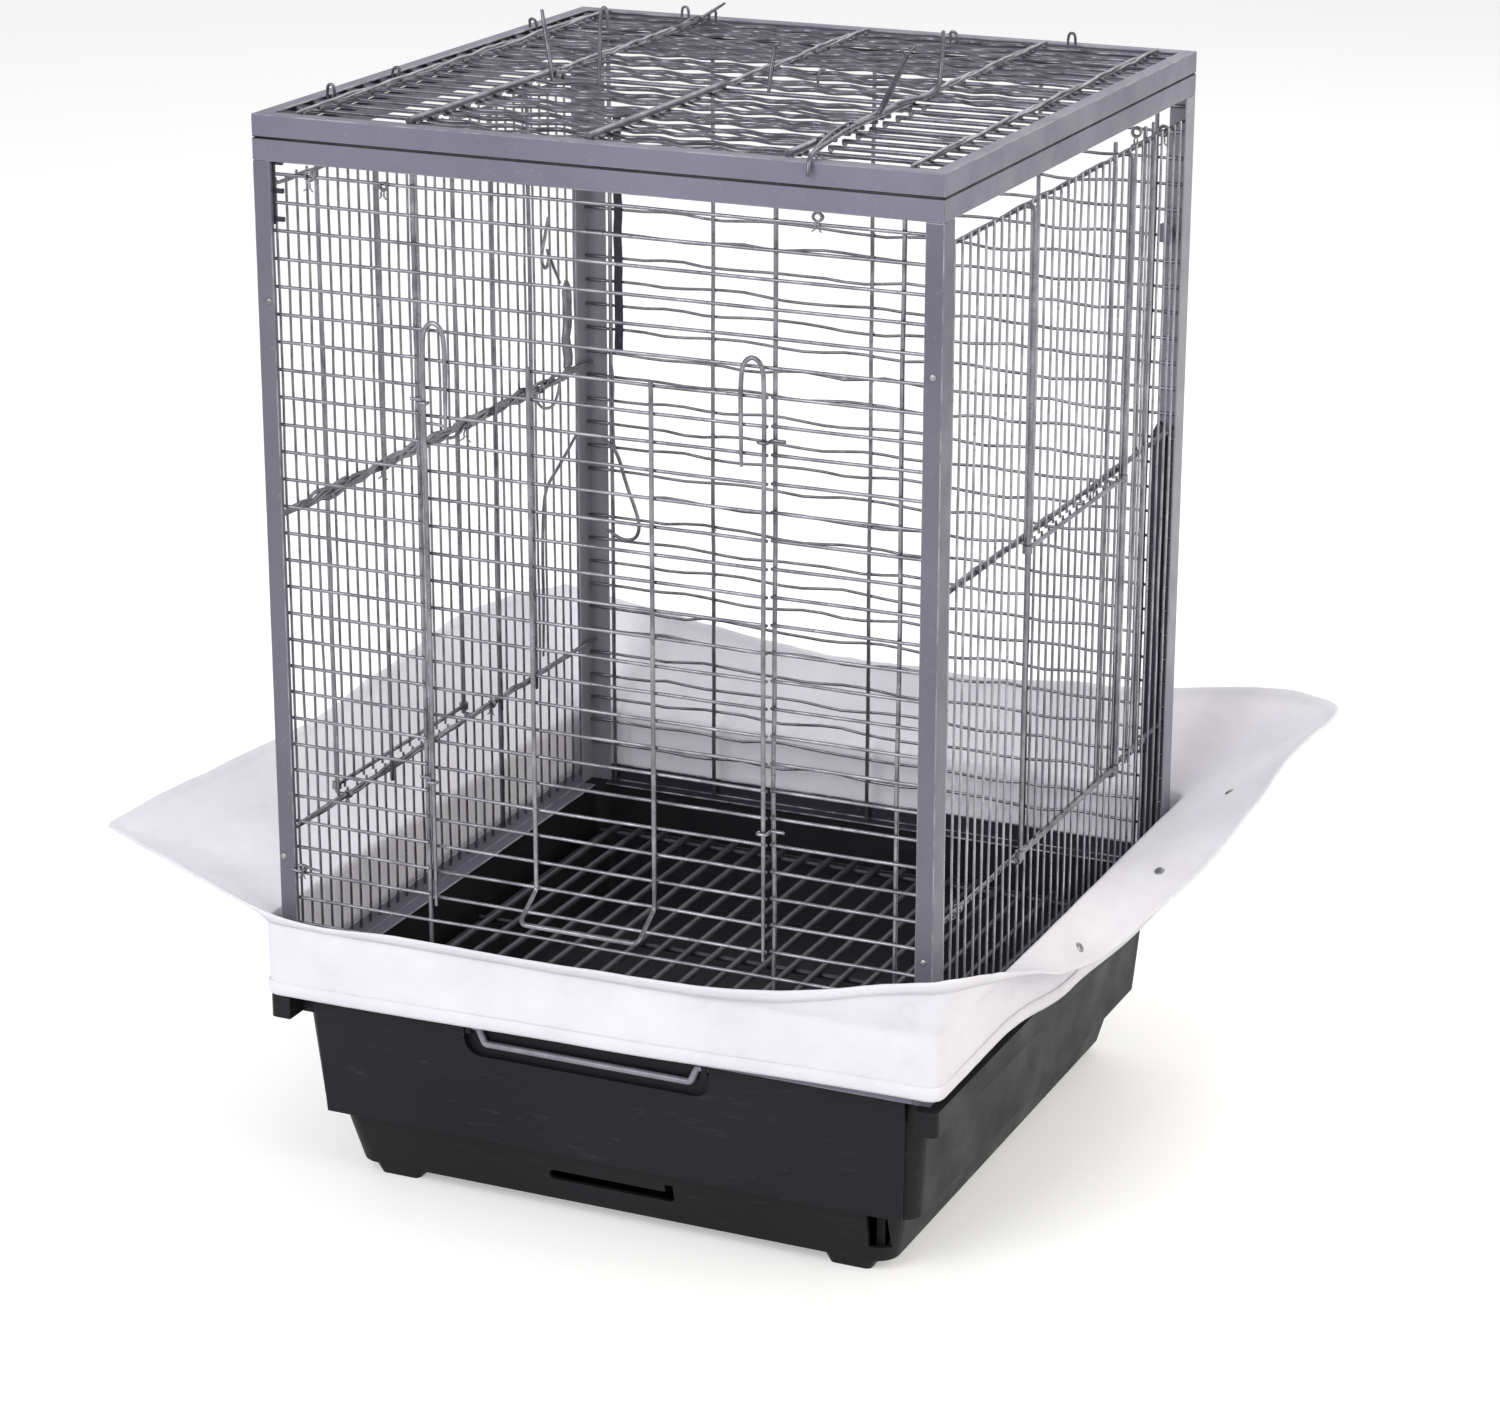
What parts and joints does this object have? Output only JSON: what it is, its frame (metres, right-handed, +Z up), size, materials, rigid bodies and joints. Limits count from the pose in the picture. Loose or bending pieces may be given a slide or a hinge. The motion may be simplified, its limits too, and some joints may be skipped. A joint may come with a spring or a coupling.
{
  "type": "parrot cage",
  "caption": "Square wire parrot cage: steel frame, hinged lid with roof door, lifting front and feeder doors, moulded base with sliding drawer and grate, and a fabric seed skirt.",
  "frame": {"origin": "on the floor, under the middle of the whole object's box; the skirt reaches further to the left and to the back, so the cage's own centre line is 23 mm to the right and 26.75 mm to the front of it", "axes": "+Z up, +Y from the front to the back, +X to the right as seen from the front"},
  "size_m": [0.705, 0.5715, 0.7898],
  "materials": {
    "frame_paint": "blue-grey satin paint on folded steel sheet",
    "cage_wire": "zinc-plated wire, dulled",
    "hinge_steel": "plain plated steel",
    "base_plastic": "near-black moulded plastic, satin",
    "foot_plastic": "near-black moulded plastic",
    "drawer_plastic": "near-black moulded plastic, satin",
    "grate_coating": "black coated wire",
    "bail_paint": "grey painted wire",
    "skirt_cloth": "thin white woven cloth, a little translucent"
  },
  "bodies": {
    "cage": {"base_housing": "base_plastic", "foot_front_left": "foot_plastic", "foot_front_right": "foot_plastic", "foot_back_left": "foot_plastic", "foot_back_right": "foot_plastic", "post_front_left": "frame_paint", "post_front_right": "frame_paint", "post_back_left": "frame_paint", "post_back_right": "frame_paint", "top_rail_front": "frame_paint", "top_rail_right": "frame_paint", "top_rail_back": "frame_paint", "top_rail_left": "frame_paint", "bottom_rail_front": "frame_paint", "bottom_rail_right": "frame_paint", "bottom_rail_back": "frame_paint", "bottom_rail_left": "frame_paint", "front_grille_rows": "cage_wire", "front_grille_struts": "cage_wire", "door_guides": "cage_wire", "back_grille_rows": "cage_wire", "back_grille_struts": "cage_wire", "hanging_hook": "cage_wire", "left_grille_wires": "cage_wire", "left_grille_rails": "cage_wire", "left_grille_struts": "cage_wire", "left_feeder_guides": "cage_wire", "right_grille_wires": "cage_wire", "right_grille_rails": "cage_wire", "right_grille_struts": "cage_wire", "right_feeder_guides": "cage_wire", "hinge_knuckles": "hinge_steel", "skirt_band": "skirt_cloth", "skirt_flap_front": "skirt_cloth", "skirt_flap_right": "skirt_cloth", "skirt_flap_back": "skirt_cloth", "skirt_flap_left": "skirt_cloth"},
    "drawer": {"drawer_tray": "drawer_plastic", "drawer_front": "drawer_plastic", "grate_cross_bars": "grate_coating", "grate_bars": "grate_coating"},
    "drawer_handle": {"drawer_bail": "bail_paint"},
    "front_door": {"front_door_rows": "cage_wire", "front_door_canes": "cage_wire", "front_door_handle": "cage_wire"},
    "left_feeder_door": {"left_feeder_door": "cage_wire"},
    "right_feeder_door": {"right_feeder_door": "cage_wire"},
    "lid": {"lid_frame": "frame_paint", "lid_wires": "cage_wire", "lid_supports": "cage_wire", "lid_hooks": "cage_wire", "hinge_pins": "hinge_steel"},
    "roof_door": {"roof_door_wires": "cage_wire", "roof_door_rods": "cage_wire", "roof_door_eyelets": "cage_wire", "roof_door_latch": "cage_wire", "roof_door_canes": "cage_wire"}
  },
  "joints": [
    {"name": "drawer_slide", "type": "slide", "parent": "cage", "child": "drawer", "axis": [0, -1, 0], "range_m": [0, 0.35]},
    {"name": "bail_swing", "type": "hinge", "parent": "drawer", "child": "drawer_handle", "pos_m": [0.012, -0.25135, 0.132], "axis": [-1, 0, 0], "range_deg": [0, 85]},
    {"name": "front_door_lift", "type": "slide", "parent": "cage", "child": "front_door", "axis": [0, 0, 1], "range_m": [0, 0.09]},
    {"name": "left_feeder_lift", "type": "slide", "parent": "cage", "child": "left_feeder_door", "axis": [0, 0, 1], "range_m": [0, 0.205]},
    {"name": "right_feeder_lift", "type": "slide", "parent": "cage", "child": "right_feeder_door", "axis": [0, 0, 1], "range_m": [0, 0.205]},
    {"name": "lid_hinge", "type": "hinge", "parent": "cage", "child": "lid", "pos_m": [0.023, 0.20935, 0.713], "axis": [-1, 0, 0], "range_deg": [0, 100]},
    {"name": "roof_door_hinge", "type": "hinge", "parent": "lid", "child": "roof_door", "pos_m": [0.023, -0.04775, 0.725], "axis": [-1, 0, 0], "range_deg": [0, 90]}
  ]
}
